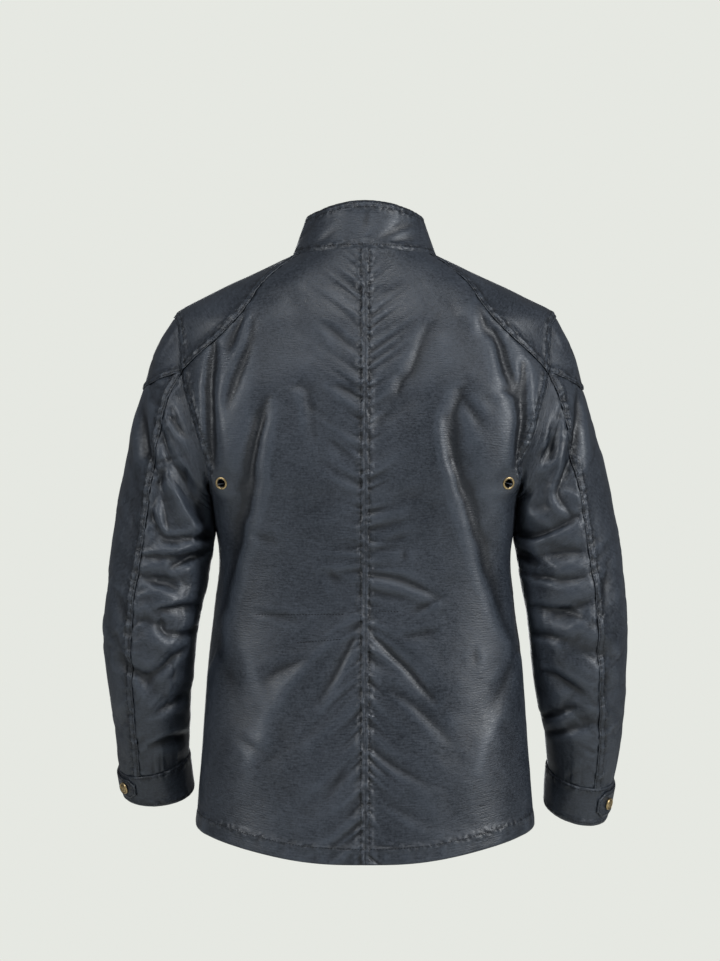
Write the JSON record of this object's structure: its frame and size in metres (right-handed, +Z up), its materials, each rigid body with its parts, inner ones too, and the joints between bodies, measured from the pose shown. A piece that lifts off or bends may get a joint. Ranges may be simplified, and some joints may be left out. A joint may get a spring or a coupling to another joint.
{
  "type": "waxed cotton jacket",
  "caption": "Hip-length jacket in worn form: stand collar, shoulder patches, two-piece sleeves with strapped cuffs, centre front zip, patch pockets and air eyelets.",
  "frame": {"origin": "middle of the neck, level with the collar seam at the centre of the back, where the wearer's neck and shoulders hold the jacket", "axes": "+Z up, +Y out of the back, -Y out of the zipped front, +X to the wearer's left"},
  "size_m": [0.6416, 0.2743, 0.7982],
  "materials": {
    "waxed_cotton": "dark navy-charcoal waxed cotton, smooth with a low dull shine, worn paler on edges and creases",
    "stud_brass": "antiqued press stud cap with a raised rim",
    "eyelet_brass": "dulled brass eyelet",
    "zip_brass": "antiqued brass zip",
    "zip_tape": "matt dark woven cotton tape"
  },
  "bodies": {
    "jacket": {"back_left": "waxed_cotton", "front_left": "waxed_cotton", "shoulder_left": "waxed_cotton", "sleeve_cap_left": "waxed_cotton", "sleeve_outer_left": "waxed_cotton", "sleeve_inner_left": "waxed_cotton", "cuff_left": "waxed_cotton", "cuff_tab_left": "waxed_cotton", "pocket_left": "waxed_cotton", "pocket_flap_left": "waxed_cotton", "cuff_stud_left": "stud_brass", "eyelet_left": "eyelet_brass", "zip_tape_left": "zip_tape", "back_right": "waxed_cotton", "front_right": "waxed_cotton", "shoulder_right": "waxed_cotton", "sleeve_cap_right": "waxed_cotton", "sleeve_outer_right": "waxed_cotton", "sleeve_inner_right": "waxed_cotton", "cuff_right": "waxed_cotton", "cuff_tab_right": "waxed_cotton", "pocket_right": "waxed_cotton", "pocket_flap_right": "waxed_cotton", "cuff_stud_right": "stud_brass", "eyelet_right": "eyelet_brass", "zip_tape_right": "zip_tape", "collar": "waxed_cotton", "zip_chain": "zip_brass", "zip_slider": "zip_brass"},
    "pull_tab": {"zip_pull": "zip_brass"}
  },
  "joints": [
    {"name": "pull_tab_swing", "type": "hinge", "parent": "jacket", "child": "pull_tab", "pos_m": [0, -0.08786, -0.07521], "axis": [-1, 0, 0], "range_deg": [0, 150]}
  ]
}
